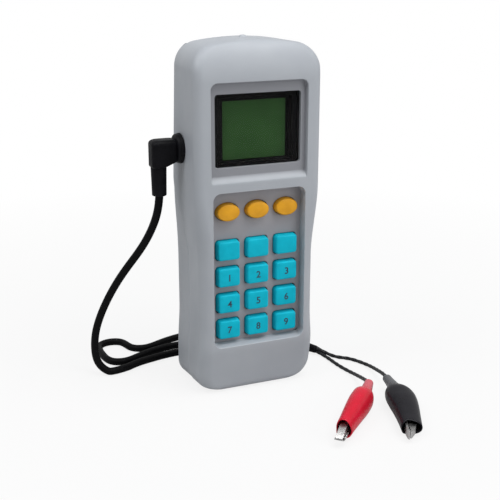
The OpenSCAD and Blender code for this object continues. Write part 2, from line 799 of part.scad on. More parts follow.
// Soft neck from the wire to the boot, hollow where it opens out
module boot_neck(wire) {
    run = [12.5, 0, 0] - wire;
    long = norm(run);
    translate(wire) rotate([0, acos(run[2] / long), atan2(run[1], run[0])]) difference() {
        union() {
            cylinder(r1 = 2.2, r2 = 3, h = long - 4.5, $fn = 32);
            translate([0, 0, long - 4.5 - TINY])
                cylinder(r1 = 3, r2 = 4.5, h = 4.5, $fn = 32);
        }
        translate([0, 0, long - 8]) cylinder(r = 1.7, h = 4, $fn = 32);
        translate([0, 0, long - 4.5]) cylinder(r1 = 1.7, r2 = 3.7, h = 5, $fn = 32);
    }
}

module lower_boot(tint, wire) {
    color(tint) {
        skin_of([for (s = LOWER_BOOT) boot_ring(s, -1)], true);
        boot_neck(wire);
    }
}

module upper_boot(tint) {
    color(tint) skin_of([for (s = BOOT) boot_ring(s, 1)], true);
}

// ---------- nodes ----------

front_shell();
rear_shell();
battery_door();
case_screws();
door_screw();
display_window();
display_frame();
lcd_panel();
lcd_board();
keypad_panel();
key_mat();
key(-1, oval_z, true);  // oval_key_left
key(0, oval_z, true);  // oval_key_middle
key(1, oval_z, true);  // oval_key_right
key(-1, KEY_ROWS[0], false);  // function_key_left
key(0, KEY_ROWS[0], false);  // function_key_middle
key(1, KEY_ROWS[0], false);  // function_key_right
for (number = [1:9]) {
    union() {
        key((number - 1) % 3 - 1, KEY_ROWS[1 + floor((number - 1) / 3)], false);
    }
}
main_board();
board_screws();
board_chips();
buzzer();
battery();
battery_terminals();
battery_contacts();
lead_socket();
socket_pin();
plug_barrel();
plug_body();
plug_sleeve();
test_cable();
lead_splitter();
red_lead();
black_lead();
lay_clip(RED_CLIP) lower_jaw();  // red_lower_jaw
lay_clip(RED_CLIP) upper_jaw();  // red_upper_jaw
lay_clip(RED_CLIP) hinge_pin();  // red_hinge_pin
lay_clip(RED_CLIP) clip_spring();  // red_spring
lay_clip(RED_CLIP) lower_boot(clip_red, RED_WIRE);  // red_lower_boot
lay_clip(RED_CLIP) upper_boot(clip_red);  // red_upper_boot
lay_clip(BLACK_CLIP) lower_jaw();  // black_lower_jaw
lay_clip(BLACK_CLIP) upper_jaw();  // black_upper_jaw
lay_clip(BLACK_CLIP) hinge_pin();  // black_hinge_pin
lay_clip(BLACK_CLIP) clip_spring();  // black_spring
lay_clip(BLACK_CLIP) lower_boot(jet, BLACK_WIRE);  // black_lower_boot
lay_clip(BLACK_CLIP) upper_boot(jet);  // black_upper_boot
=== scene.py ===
import math

import bpy
import numpy as np
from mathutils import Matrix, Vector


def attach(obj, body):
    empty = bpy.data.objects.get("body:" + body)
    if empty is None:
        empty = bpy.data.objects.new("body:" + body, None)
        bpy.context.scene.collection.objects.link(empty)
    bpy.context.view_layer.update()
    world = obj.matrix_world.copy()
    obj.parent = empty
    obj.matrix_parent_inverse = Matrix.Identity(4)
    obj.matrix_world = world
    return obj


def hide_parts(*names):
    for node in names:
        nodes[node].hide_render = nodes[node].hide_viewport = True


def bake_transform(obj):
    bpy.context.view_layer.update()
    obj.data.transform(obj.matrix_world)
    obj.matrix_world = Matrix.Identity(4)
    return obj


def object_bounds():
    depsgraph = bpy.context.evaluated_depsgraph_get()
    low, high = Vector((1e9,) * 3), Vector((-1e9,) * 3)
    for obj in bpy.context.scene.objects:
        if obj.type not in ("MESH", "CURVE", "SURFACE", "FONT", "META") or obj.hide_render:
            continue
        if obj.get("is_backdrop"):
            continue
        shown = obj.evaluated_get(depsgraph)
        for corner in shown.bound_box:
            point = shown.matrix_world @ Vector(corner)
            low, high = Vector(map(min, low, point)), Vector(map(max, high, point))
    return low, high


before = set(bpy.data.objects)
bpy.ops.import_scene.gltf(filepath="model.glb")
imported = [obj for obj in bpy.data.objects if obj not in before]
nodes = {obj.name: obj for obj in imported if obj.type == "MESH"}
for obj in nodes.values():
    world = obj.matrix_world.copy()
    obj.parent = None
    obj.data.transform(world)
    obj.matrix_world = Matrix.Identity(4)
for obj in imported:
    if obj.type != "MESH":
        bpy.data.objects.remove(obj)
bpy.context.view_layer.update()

# ---------------------------------------------------------------- camera and cords
# Lengths in the tables below are millimetres; every mesh is written in metres.

MM = 0.001
# Points in each ring of the turned pieces and of the plates
SIDES = 48

camera_data = bpy.data.cameras.new("bench_camera")
camera_data.lens = 68.4
camera_data.sensor_width = 36.0
camera_data.clip_start = 0.01
camera = bpy.data.objects.new("bench_camera", camera_data)
camera.location = (-0.1773, -0.4329, 0.2158)
camera.rotation_euler = (math.radians(72.75), 0.0, math.radians(-22.57))
bpy.context.scene.collection.objects.link(camera)
bpy.context.scene.camera = camera

CABLE_ROUTE = [
    (-44.2, 3.4, 103), (-44.8, 4.2, 96.5), (-47, 7.5, 86), (-52, 13, 73.5),
    (-58.5, 18.5, 62), (-65, 23.5, 49.5), (-70, 27, 37.5), (-73.4, 29, 26),
    (-74.2, 30, 15), (-72, 30, 6.3), (-67.2, 28.5, 2.1), (-55.2, 31, 2.1),
    (-42.4, 36, 2.1), (-24, 39.2, 2.1), (3, 39.3, 2.1), (11, 43, 2.1), (14, 49.5, 2.1),
    (11, 56, 2.1), (3, 59.8, 2.1), (-10, 61, 2.1), (-22, 59, 2.1), (-32, 55, 2.1),
    (-42.3, 52.2, 2.1), (-46.6, 54.4, 2.1), (-49, 60, 2.1), (-51.3, 65.7, 2.1),
    (-57, 68, 2.1), (-62.7, 65.7, 2.1), (-65, 60, 2.1), (-65.2, 52, 2.1),
    (-64.4, 45, 2.1), (-61.8, 40.2, 2.1), (-56.8, 38.4, 2.1), (-48, 41.6, 2.1),
    (-28, 48.4, 2.1), (-4, 49.5, 3.2), (13, 47, 6.6), (27, 39, 3.4), (37, 28.5, 2.3),
    (43, 19, 3.1),
]
RED_ROUTE = [
    (47.6, 10.2, 2.05), (49.7, 5.1, 1.2), (50.6, -3.6, 1.1), (51.4, -12, 1.1),
    (52.5, -20.4, 1.5), (52.4, -27, 2.6), (51.4, -33.2, 4.2), (50, -39.8, 6),
    (48.8, -44.8, 7.3), (47.5, -49.4, 8.3),
]
BLACK_ROUTE = [
    (47.6, 10.2, 4.15), (51.2, 6.6, 2.2), (55.3, 1.3, 1.1), (60.1, -3.3, 1.1),
    (64, -9.8, 1.1), (65.7, -17, 1.6), (65.2, -25.1, 3), (63.9, -32.5, 4.6),
    (62.7, -38.6, 5.7), (61.1, -44.3, 6.3),
]
CABLE_D = 4.0
LEAD_D = 2.0

# The case: overall sizes, the sides and the foot, the lean of the rear edges, the top
# and bottom of the back, the brow and the chin, and the seam between the shells
HEAD_W, DEPTH, HEIGHT = 65.8, 39.0, 178.0
FRONT, BACK = -DEPTH / 2, DEPTH / 2
WAIST_IN, SHOULDER_Z, SHOULDER_H = 2.3, 107.0, 38.0
FLARE_OUT, FLARE_Z, FLARE_H = 1.2, 42, 26
FOOT_R, FOOT_REAR_R, FOOT_ROLL = 11.0, 8.5, 4.0
REAR_OUT, REAR_EVEN_Z, LEAN, LEAN_TOP_Z = 0.9, 102.5, 0.032, 164.0
CROWN_R, NAPE_R, HEEL_H, HEEL_D = 10.0, 9.0, 3.0, 5.0
BROW_H, BROW_D, CHIN_Z, CHIN_IN = 19.0, 10.0, 25.0, 4.5
SEAM_FRONT, SEAM_BACK, SEAM_Z0, SEAM_Z1 = -1.0, BACK - 3.0, 72.0, 112.0
SEAM_GAP, REAR_INSET = 0.1, 0.4
# Corner rounds: at the front of the head, what the grip adds to it, and at the rear
CORNER_R, CORNER_MORE, CORNER_REAR_R = 4.5, 2.5, 4.0
# Recesses: centre x, centre z, width, height, corner radius; then how deep they go
SURROUND = (0.0, 136.7, 50.4, 45.0, 3.5)
WINDOW_WELL = (0.0, 136.0, 44.6, 35.2, 1.5)
PAD = (0.0, 67.2, 48.8, 78.6, 4.0)
DOOR_WELL = (0, 53.5, 31.3, 69.3, 2.15)
SURROUND_IN, WINDOW_IN, PAD_IN, PAD_MORE_IN, DOOR_IN = 2.5, 11.8, 5.5, 7.1, 1.56
SILL_Z, SILL_H = 111.4, 2.8
# Screw wells in the back: the distance from the middle, the height and the depth
SCREW_WELLS, SCREW_R = ((20, 14, 8.6), (24, 167, 2.3)), 3.1
KEY_DX, KEY_DZ, KEY_TOP_Z, OVAL_Z = 15.5, 13.8, 76.6, 96.0
SOCKET_Y, SOCKET_Z, SOCKET_R, SOCKET_IN = 3.4, 125.7, 5.6, 12.0
# Y of the key faces and of the backs of the key caps
KEY_FACE, KEY_BACK = -17.5, -10.9
KEY_SIZE, OVAL_SIZE = (12.4, 10.4), (12.4, 9.0)
# The plug: X of its far side, of its collar's face and of its sleeve's axis; then Z of
# the block's bottom, of where its top rounding starts, and of the sleeve's bottom
ELBOW_X, COLLAR_X, SLEEVE_X = -48.3, -32.9, -44.2
BLOCK_Z, BLOCK_ROUND_Z, SLEEVE_Z = 117.0, 128.4, 103.0


# ---------------------------------------------------------------- shape helpers

def ease(t):
    """Smooth step: 3t^2 - 2t^3 on t held between 0 and 1."""
    u = np.clip(t, 0.0, 1.0)
    return u * u * (3.0 - 2.0 * u)


def quarter(t):
    """Drop of a quarter circle: 1 - sqrt(1 - t^2) on t held between 0 and 1."""
    u = np.clip(t, 0.0, 1.0)
    return 1.0 - np.sqrt(np.maximum(0.0, 1.0 - u * u))


def soft_plus(t, k):
    """A corner between flat and rising, rounded over about k: k ln(1 + e^(t/k))."""
    return k * np.logaddexp(0.0, t / k)


def surface(name, rows, sharp):
    """Closed skin over a grid of points in millimetres: rows by columns, with the columns
    joined end to end, and a fan to the mean point of the first and of the last row.
    Edges sharper than the given angle, in degrees, stay sharp."""
    rows = np.asarray(rows, float)
    m, n = rows.shape[:2]
    points = rows.reshape(-1, 3)
    i, j = np.meshgrid(np.arange(m - 1), np.arange(n), indexing="ij")
    k = (j + 1) % n
    quads = np.stack([i * n + j, i * n + k, (i + 1) * n + k, (i + 1) * n + j], -1)
    quads = quads.reshape(-1, 4)
    points = np.vstack([points, rows[0].mean(0), rows[-1].mean(0)])
    j = np.arange(n)
    k = (j + 1) % n
    low = np.stack([k, j, np.full(n, m * n)], -1)
    high = np.stack([(m - 1) * n + j, (m - 1) * n + k, np.full(n, m * n + 1)], -1)
    fans = np.vstack([low, high])
    a, b, c, d = (points[quads[:, q]] for q in range(4))
    volume = np.einsum("ij,ij->", a, np.cross(b, c)) + np.einsum("ij,ij->", a, np.cross(c, d))
    a, b, c = (points[fans[:, q]] for q in range(3))
    volume += np.einsum("ij,ij->", a, np.cross(b, c))
    if volume < 0:
        quads, fans = quads[:, ::-1], fans[:, ::-1]
    return mesh_of(name, points, quads, fans, sharp)


def mesh_of(name, points, quads, fans, sharp):
    """Writes points in millimetres, quads and triangles into a smooth mesh object."""
    mesh = bpy.data.meshes.new(name)
    mesh.vertices.add(len(points))
    mesh.vertices.foreach_set("co", (points * MM).astype(np.float32).ravel())
    corners = np.concatenate([quads.ravel(), fans.ravel()]).astype(np.int32)
    mesh.loops.add(len(corners))
    mesh.loops.foreach_set("vertex_index", corners)
    starts = np.concatenate([
        np.arange(len(quads)) * 4, len(quads) * 4 + np.arange(len(fans)) * 3
    ]).astype(np.int32)
    mesh.polygons.add(len(starts))
    mesh.polygons.foreach_set("loop_start", starts)
    mesh.update(calc_edges=True)
    mesh.validate()
    mesh.shade_smooth()
    mesh.set_sharp_from_angle(angle=math.radians(sharp))
    obj = bpy.data.objects.new(name, mesh)
    bpy.context.scene.collection.objects.link(obj)
    return obj


def points_of(mesh):
    """Places of a mesh's vertices, one row each."""
    points = np.empty(len(mesh.vertices) * 3, np.float32)
    mesh.vertices.foreach_get("co", points)
    return points.reshape(-1, 3)


def mark_points(obj, name, values):
    """Writes one value for each vertex, for the finish to read by its name."""
    data = obj.data.attributes.new(name, "FLOAT", "POINT")
    data.data.foreach_set("value", values.astype(np.float32))


def fit_out(obj, body, material, stands_for=()):
    """Finish, body and the nodes that the piece stands for."""
    obj.data.materials.clear()
    obj.data.materials.append(material)
    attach(obj, body)
    if stands_for:
        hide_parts(*stands_for)
    return obj


def smooth_line(points, spacing):
    """Natural cubic spline through the points by chord length, sampled evenly: the second
    derivatives solve the usual tridiagonal system."""
    p = np.asarray(points, float)
    h = np.linalg.norm(np.diff(p, axis=0), axis=1)
    t = np.concatenate([[0.0], np.cumsum(h)])
    n = len(p)
    system = np.eye(n)
    right = np.zeros((n, 3))
    inner = np.arange(1, n - 1)
    system[inner, inner - 1] = h[:-1]
    system[inner, inner] = 2.0 * (h[:-1] + h[1:])
    system[inner, inner + 1] = h[1:]
    slope = np.diff(p, axis=0) / h[:, None]
    right[inner] = 6.0 * np.diff(slope, axis=0)
    bend = np.linalg.solve(system, right)
    s = np.linspace(0.0, t[-1], max(8, int(t[-1] / spacing)))
    i = np.clip(np.searchsorted(t, s, side="right") - 1, 0, n - 2)
    u, v, w = (s - t[i])[:, None], (t[i + 1] - s)[:, None], h[i][:, None]
    return (
        bend[i] * v ** 3 / (6 * w) + bend[i + 1] * u ** 3 / (6 * w)
        + (p[i] / w - bend[i] * w / 6) * v + (p[i + 1] / w - bend[i + 1] * w / 6) * u
    )


def carried_frames(line, start):
    """Tangents, and two normals that are carried along the line without twist."""
    tangent = np.gradient(line, axis=0)
    tangent /= np.linalg.norm(tangent, axis=1)[:, None]
    normal = np.empty_like(line)
    last = np.asarray(start, float)
    for k, direction in enumerate(tangent):
        last = last - direction * (last @ direction)
        last = last / np.linalg.norm(last)
        normal[k] = last
    return tangent, normal, np.cross(tangent, normal)


def round_cord(name, route, diameter, sides, spacing, start, rib=0.0, pitch=3.0):
    """Tube swept along the route, held just above the table. A rib is a fine two-start
    spiral on the jacket: radius times 1 + rib cos(2 angle - 2 pi distance / pitch)."""
    line = smooth_line(route, spacing)
    line[:, 2] = np.maximum(line[:, 2], diameter / 2 + 0.03)
    tangent, normal, side = carried_frames(line, start)
    angle = np.linspace(0, 2 * np.pi, sides, endpoint=False)
    step = np.linalg.norm(np.diff(line, axis=0), axis=1)
    run = np.concatenate([[0.0], np.cumsum(step)])
    radius = diameter / 2 * (
        1 - abs(rib) + rib * np.cos(2 * angle[None, :] - 2 * np.pi * run[:, None] / pitch)
    )
    rows = (
        line[:, None, :]
        + (radius * np.cos(angle))[:, :, None] * normal[:, None, :]
        + (radius * np.sin(angle))[:, :, None] * side[:, None, :]
    )
    return surface(name, rows, sharp=70.0), line, run[-1]


def rounded_outline(width, height, radius, per_corner, centre=(0.0, 0.0)):
    """Rounded rectangle as points: four quarter circles joined by straight sides."""
    radius = min(radius, width / 2 - 1e-3, height / 2 - 1e-3)
    a = np.linspace(0, np.pi / 2, per_corner)
    out = []
    for q, (sx, sy) in enumerate([(1, 1), (-1, 1), (-1, -1), (1, -1)]):
        t = a + q * np.pi / 2
        out.append(np.stack([
            centre[0] + sx * (width / 2 - radius) + radius * np.cos(t),
            centre[1] + sy * (height / 2 - radius) + radius * np.sin(t),
        ], -1))
    return np.concatenate(out)


def filled(x, z, shape):
    """Signed distance in X and Z to a rounded rectangle (centre x, centre z, width,
    height, corner radius): negative inside."""
    cx, cz, width, height, r = shape
    dx = np.abs(x - cx) - width / 2 + r
    dz = np.abs(z - cz) - height / 2 + r
    outside = np.hypot(np.maximum(dx, 0), np.maximum(dz, 0))
    return outside + np.minimum(np.maximum(dx, dz), 0) - r


def turned(name, start, end, profile):
    """Surface of revolution about the line from start to end: circles whose distance
    along the line and radius follow the profile."""
    start, end = np.asarray(start, float), np.asarray(end, float)
    along = (end - start) / np.linalg.norm(end - start)
    normal = np.cross(along, (0.31, 0.83, 0.47))
    normal /= np.linalg.norm(normal)
    side = np.cross(along, normal)
    angle = np.linspace(0, 2 * np.pi, SIDES, endpoint=False)
    ring = np.cos(angle)[:, None] * normal + np.sin(angle)[:, None] * side
    profile = np.asarray(profile, float)
    rows = start + profile[:, 0, None, None] * along + profile[:, 1, None, None] * ring
    return surface(name, rows, sharp=40.0)


def dressed(node, body, material, bevel=0.0):
    """A welded copy of a CAD node, smooth but for its real corners. A bevel, given in
    millimetres, eases those corners."""
    mesh = nodes[node].data
    points = points_of(mesh)
    key = np.round(points / 2e-6).astype(np.int64)
    _, first, back = np.unique(key, axis=0, return_index=True, return_inverse=True)
    corners = np.empty(len(mesh.loops), np.int32)
    mesh.loops.foreach_get("vertex_index", corners)
    faces = back.ravel()[corners].reshape(-1, 3)
    whole = (faces[:, 0] != faces[:, 1]) & (faces[:, 1] != faces[:, 2])
    whole &= faces[:, 0] != faces[:, 2]
    none = np.zeros((0, 4), int)
    obj = mesh_of(node + "_finished", points[first] / MM, none, faces[whole], 32.0)
    if bevel:
        rounding = obj.modifiers.new("eased_edges", "BEVEL")
        rounding.width = bevel * MM
        rounding.segments = 2
        rounding.limit_method = "ANGLE"
        rounding.angle_limit = math.radians(40)
        rounding.use_clamp_overlap = True
        rounding.harden_normals = True
    return fit_out(obj, body, material, [node])


# ---------------------------------------------------------------- finishes

def link(tree, a, b):
    """Joins two sockets."""
    tree.links.new(a, b)


def noise_of(tree, coordinates, size, detail, rough):
    """Noise whose grains are about size metres across."""
    noise = tree.nodes.new("ShaderNodeTexNoise")
    noise.inputs["Scale"].default_value = 1.0 / size
    noise.inputs["Detail"].default_value = detail
    noise.inputs["Roughness"].default_value = rough
    link(tree, coordinates, noise.inputs["Vector"])
    return noise.outputs["Fac"]


def spread(tree, value, low, high, lo_out, hi_out):
    """Maps a range of values to another, held at its ends."""
    node = tree.nodes.new("ShaderNodeMapRange")
    for socket, number in zip(range(1, 5), (low, high, lo_out, hi_out)):
        node.inputs[socket].default_value = number
    link(tree, value, node.inputs[0])
    return node.outputs[0]


def blend_of(tree, factor, a, b):
    """Colour between a and b; each is a colour or a socket."""
    mix = tree.nodes.new("ShaderNodeMix")
    mix.data_type = "RGBA"
    link(tree, factor, mix.inputs["Factor"])
    for socket, value in ((mix.inputs[6], a), (mix.inputs[7], b)):
        if hasattr(value, "is_output"):
            link(tree, value, socket)
        else:
            socket.default_value = (*value, 1.0)
    return mix.outputs[2]


def finish(name, colour, shade, rough, grain, relief, patch, edge=None, metallic=0.0,
           coat=0.0, specular=0.5, alpha=1.0, attribute=None, tip=None, spread_rough=0.07):
    """A moulded or plated finish: two close tones in broad patches, fine grain in the
    relief, uneven gloss, and a paler tone where the surface turns over an edge, a painted
    highlight that also stands for wear. A vertex attribute can lead the tone over to the colour
    of the tip."""
    material = bpy.data.materials.new(name)
    material.use_nodes = True
    tree = material.node_tree
    shader = tree.nodes["Principled BSDF"]
    place = tree.nodes.new("ShaderNodeTexCoord").outputs["Object"]
    patches = noise_of(tree, place, patch, 3.0, 0.6)
    fine = noise_of(tree, place, grain, 3.0, 0.65)
    tone = blend_of(tree, spread(tree, patches, 0.35, 0.65, 0.0, 1.0), colour, shade)
    if attribute is not None:
        data = tree.nodes.new("ShaderNodeAttribute")
        data.attribute_name = attribute
        tone = blend_of(tree, data.outputs["Fac"], tone, tip)
    # Painted highlight: edges where the surface turns over, found by Pointiness, are led to a
    # paler tone; this also stands for wear.
    if edge is not None:
        geometry = tree.nodes.new("ShaderNodeNewGeometry")
        turn = spread(tree, geometry.outputs["Pointiness"], 0.52, 0.60, 0.0, 0.35)
        tone = blend_of(tree, turn, tone, edge)
    link(tree, tone, shader.inputs["Base Color"])
    gloss = spread(tree, patches, 0.3, 0.7, rough - spread_rough, rough + spread_rough)
    link(tree, gloss, shader.inputs["Roughness"])
    bump = tree.nodes.new("ShaderNodeBump")
    bump.inputs["Strength"].default_value = relief
    bump.inputs["Distance"].default_value = 0.0002
    link(tree, fine, bump.inputs["Height"])
    link(tree, bump.outputs["Normal"], shader.inputs["Normal"])
    shader.inputs["Metallic"].default_value = metallic
    shader.inputs["Coat Weight"].default_value = coat
    shader.inputs["Coat Roughness"].default_value = 0.12
    shader.inputs["Specular IOR Level"].default_value = specular
    shader.inputs["Alpha"].default_value = alpha
    return material


# The case's edge colour is a painted highlight on its turned edges that also stands for wear; its
# tip colour is painted shade on the floor of the sunken display surround.
case_grey = finish("case_grey", (0.356, 0.378, 0.408), (0.334, 0.356, 0.388), 0.46,
                   grain=0.00035, relief=0.16, patch=0.03, edge=(0.60, 0.63, 0.67),
                   specular=0.4, attribute="surround", tip=(0.225, 0.232, 0.255))
panel_grey = finish("panel_grey", (0.285, 0.283, 0.303), (0.262, 0.26, 0.28), 0.55,
                    grain=0.0004, relief=0.2, patch=0.015)
key_cyan = finish("key_cyan", (0.003, 0.44, 0.58), (0.002, 0.39, 0.52), 0.42,
                  grain=0.0003, relief=0.12, patch=0.006, specular=0.1)
key_amber = finish("key_amber", (0.73, 0.35, 0.014), (0.63, 0.29, 0.01), 0.4,
                   grain=0.0003, relief=0.12, patch=0.006, specular=0.25)
legend_ink = finish("legend_ink", (0.006, 0.03, 0.06), (0.01, 0.045, 0.08), 0.5,
                    grain=0.0002, relief=0.1, patch=0.001)
frame_black = finish("frame_black", (0.003, 0.003, 0.0035), (0.0045, 0.0045, 0.005), 0.5,
                     grain=0.0003, relief=0.2, patch=0.008, specular=0.04)
display_green = finish("display_green", (0.030, 0.085, 0.024), (0.026, 0.074, 0.021), 0.35,
                       grain=0.00025, relief=0.02, patch=0.012, specular=0.04)
window_clear = finish("window_clear", (0.02, 0.02, 0.02), (0.03, 0.03, 0.03), 0.06,
                      grain=0.0004, relief=0.01, patch=0.01, alpha=0.05, spread_rough=0.03)
# The edge colour is a painted highlight on the plug's turned edges that also stands for wear.
plug_black = finish("plug_black", (0.003, 0.003, 0.004), (0.0045, 0.0045, 0.006), 0.42,
                    grain=0.0003, relief=0.25, patch=0.006, edge=(0.02, 0.02, 0.025),
                    specular=0.08)
cable_black = finish("cable_black", (0.002, 0.002, 0.0025), (0.0035, 0.0035, 0.004), 0.45,
                     grain=0.0004, relief=0.2, patch=0.01, specular=0.07)
lead_black = finish("lead_black", (0.012, 0.012, 0.014), (0.02, 0.02, 0.022), 0.45,
                    grain=0.0003, relief=0.2, patch=0.004, specular=0.25)
boot_red = finish("boot_red", (0.57, 0.012, 0.036), (0.50, 0.008, 0.022), 0.3,
                  grain=0.0006, relief=0.1, patch=0.006, specular=0.2,
                  attribute="neck", tip=(0.52, 0.10, 0.125))
boot_black = finish("boot_black", (0.010, 0.0095, 0.0125), (0.013, 0.0125, 0.016), 0.33,
                    grain=0.0006, relief=0.1, patch=0.006, specular=0.12,
                    attribute="neck", tip=(0.11, 0.112, 0.118))
# The edge colour is a painted highlight on the metal's turned edges that also stands for wear.
bright_metal = finish("bright_metal", (0.44, 0.435, 0.43), (0.36, 0.355, 0.35), 0.34,
                      grain=0.0003, relief=0.25, patch=0.002, metallic=1.0,
                      edge=(0.62, 0.62, 0.62))
board_green = finish("board_green", (0.02, 0.13, 0.05), (0.016, 0.10, 0.04), 0.3,
                     grain=0.0006, relief=0.15, patch=0.004, coat=0.3)
mat_grey = finish("mat_grey", (0.55, 0.57, 0.55), (0.5, 0.52, 0.5), 0.6,
                  grain=0.0005, relief=0.15, patch=0.01)
can_blue = finish("can_blue", (0.03, 0.05, 0.085), (0.025, 0.04, 0.07), 0.35,
                  grain=0.0005, relief=0.1, patch=0.01, coat=0.2)
PLAIN = {
    "panel_grey": panel_grey, "black": frame_black, "metal": bright_metal,
    "board": board_green, "mat": mat_grey, "can": can_blue,
}
INSIDE = {
    "display_frame": "black", "lcd_board": "board", "keypad_panel": "panel_grey",
    "key_mat": "mat", "main_board": "board", "board_screws": "metal",
    "board_chips": "black", "buzzer": "black", "battery": "can",
    "battery_terminals": "metal", "battery_contacts": "black", "lead_socket": "black",
    "socket_pin": "metal",
}
for node_name, tone_name in INSIDE.items():
    inside_mesh = nodes[node_name].data
    inside_mesh.materials.clear()
    inside_mesh.materials.append(PLAIN[tone_name])


# ---------------------------------------------------------------- test cable and leads

cable, cable_line, cable_run = round_cord(
    "test_cable_jacket", CABLE_ROUTE, CABLE_D, 20, 0.9, (0, -1, 0))
fit_out(cable, "lead", cable_black, ["test_cable"])
red_cord, red_line, red_run = round_cord(
    "red_lead_jacket", RED_ROUTE, LEAD_D, 24, 0.22, (1, 0, 0), rib=0.07, pitch=4.4)
fit_out(red_cord, "lead", lead_black, ["red_lead"])
black_cord, black_line, black_run = round_cord(
    "black_lead_jacket", BLACK_ROUTE, LEAD_D, 24, 0.22, (1, 0, 0), rib=0.07, pitch=4.4)
fit_out(black_cord, "lead", lead_black, ["black_lead"])

SPLIT_START, SPLIT_END = (43.0, 19.0, 3.1), (47.6, 10.2, 3.1)
splitter = turned("lead_splitter_moulding", SPLIT_START, SPLIT_END, [
    (-0.1, 1.9), (-0.1, 2.25), (0.25, 2.45), (1.2, 2.45), (3.0, 2.4), (6.0, 2.25),
    (9.0, 2.12), (9.75, 1.95), (9.93, 1.6),
])
fit_out(splitter, "lead", plug_black, ["lead_splitter"])

# Right-angle plug: turned collar and sleeve, and a block lofted up through level slices
collar_line = [(x, SOCKET_Y, SOCKET_Z) for x in (COLLAR_X - 3.0, COLLAR_X)]
collar = turned("plug_collar", *collar_line, [
    (-0.6, 3.0), (0.0, 5.6), (0.12, 6.5), (0.5, 6.95), (1.2, 7.1), (2.5, 7.5), (2.85, 7.5),
    (3.0, 7.3), (3.0, 3.4),
])
fit_out(collar, "lead", plug_black)


def plug_block():
    """Level slices of the plug: rounded rectangles whose right end follows the sloping
    web, drawn in at the bottom and the top by quarter rounds."""
    z = np.concatenate([
        BLOCK_Z + 1.1 * (1 - np.cos(np.linspace(0, np.pi / 2, 8))),
        np.linspace(BLOCK_Z + 1.4, BLOCK_ROUND_Z - 0.2, 22),
        BLOCK_ROUND_Z + 2.3 * np.sin(np.linspace(0, np.pi / 2, 12)),
    ])
    low = 1.1 * quarter((BLOCK_Z + 1.1 - z) / 1.1)
    high = 2.3 * quarter((z - BLOCK_ROUND_Z) / 2.3)
    inset = low + high
    left = ELBOW_X + inset
    near = COLLAR_X - 1.5
    web = ELBOW_X + 6.0 + 7.95 * (z - BLOCK_Z) / 3.3
    right = np.minimum(near, near - 0.5 * soft_plus((near - web) / 0.5, 1.0)) - inset
    half = 5.0 - inset
    rows = [
        np.column_stack([
            rounded_outline(b - a, 2 * h, 2.6, 8, ((a + b) / 2, SOCKET_Y)), np.full(32, level)
        ])
        for a, b, h, level in zip(left, right, half, z)
    ]
    return surface("plug_block", rows, sharp=60.0)


block = plug_block()
fit_out(block, "lead", plug_black, ["plug_body"])
sleeve_line = [(SLEEVE_X, SOCKET_Y, z) for z in (SLEEVE_Z, SLEEVE_Z + 15.0)]
sleeve = turned("plug_sleeve_moulding", *sleeve_line, [
    (0.35, 1.9), (0.0, 2.3), (0.0, 3.2), (0.15, 3.5), (0.5, 3.62), (5.0, 3.7), (14.0, 3.9),
    (15.0, 3.9),
])
fit_out(sleeve, "lead", plug_black, ["plug_sleeve"])
dressed("plug_barrel", "lead", bright_metal, 0.15)


# ---------------------------------------------------------------- case

def case_levels():
    """Heights of the case with its half widths at the front and rear edges of the sides:
    a foot round, the sides, then the crown, closest together at the edges of the two
    recesses. The rear edges lean in towards the crown and stand out in the grip."""
    foot = FOOT_R * (1 - np.cos(np.linspace(0, np.pi / 2, 22)))
    parts = [(11.3, 23, 20), (23, 32.4, 64), (32.4, 102, 60), (102, 107.2, 36),
             (107.2, 111, 8), (111, 118, 40), (118, 120.2, 16), (120.2, 131.4, 26),
             (131.4, 151.8, 18), (151.8, 154, 16), (154, 155.4, 5), (155.4, 159.7, 30),
             (159.7, 163.0, 6)]
    body = np.concatenate([np.linspace(a, b, n, endpoint=False) for a, b, n in parts])
    z = np.concatenate([foot, body])
    side = HEAD_W / 2 - WAIST_IN * ease((SHOULDER_Z - z) / SHOULDER_H)
    side = side + FLARE_OUT * ease((FLARE_Z - z) / FLARE_H)
    half = side - FOOT_R * quarter((FOOT_R - z) / FOOT_R)
    lean = np.minimum(REAR_OUT, LEAN * (REAR_EVEN_Z - z))
    rear = side + lean - FOOT_REAR_R * quarter((FOOT_REAR_R - z) / FOOT_REAR_R)
    phi = np.linspace(0, np.pi / 2, 26)
    a = np.concatenate([
        HEAD_W / 2 - CROWN_R + CROWN_R * np.cos(phi),
        np.linspace(HEAD_W / 2 - CROWN_R, 1.0, 10)[1:],
    ])
    top = HEIGHT - 1.5 * (a / 20) ** 2
    top = top - CROWN_R * quarter((a - HEAD_W / 2 + CROWN_R) / CROWN_R)
    narrow = 1 + LEAN * (REAR_EVEN_Z - LEAN_TOP_Z) / (HEAD_W / 2)
    heights = np.concatenate([z, top])
    return heights, np.concatenate([half, a]), np.concatenate([rear, a * narrow])


def front_at(z):
    """Front face of the case: a chin that slopes back, the flat face, and quarter rounds
    at the bottom edge and the brow."""
    chin = CHIN_IN / (CHIN_Z - 4) * soft_plus(CHIN_Z - z, 0.9)
    foot = FOOT_ROLL * quarter((FOOT_ROLL - z) / FOOT_ROLL)
    brow = BROW_D * quarter((z - HEIGHT + BROW_H) / BROW_H)
    return FRONT + chin + foot + brow


def back_at(z):
    """Back face of the case: flat, with quarter rounds at the bottom and the top."""
    nape = NAPE_R * quarter((z - HEIGHT + NAPE_R) / NAPE_R)
    return BACK - HEEL_D * quarter((HEEL_H - z) / HEEL_H) - nape


def seam_at(z):
    """Line on which the two shells meet: a smooth step in Y between two heights."""
    return SEAM_FRONT + (SEAM_BACK - SEAM_FRONT) * ease((z - SEAM_Z0) / (SEAM_Z1 - SEAM_Z0))


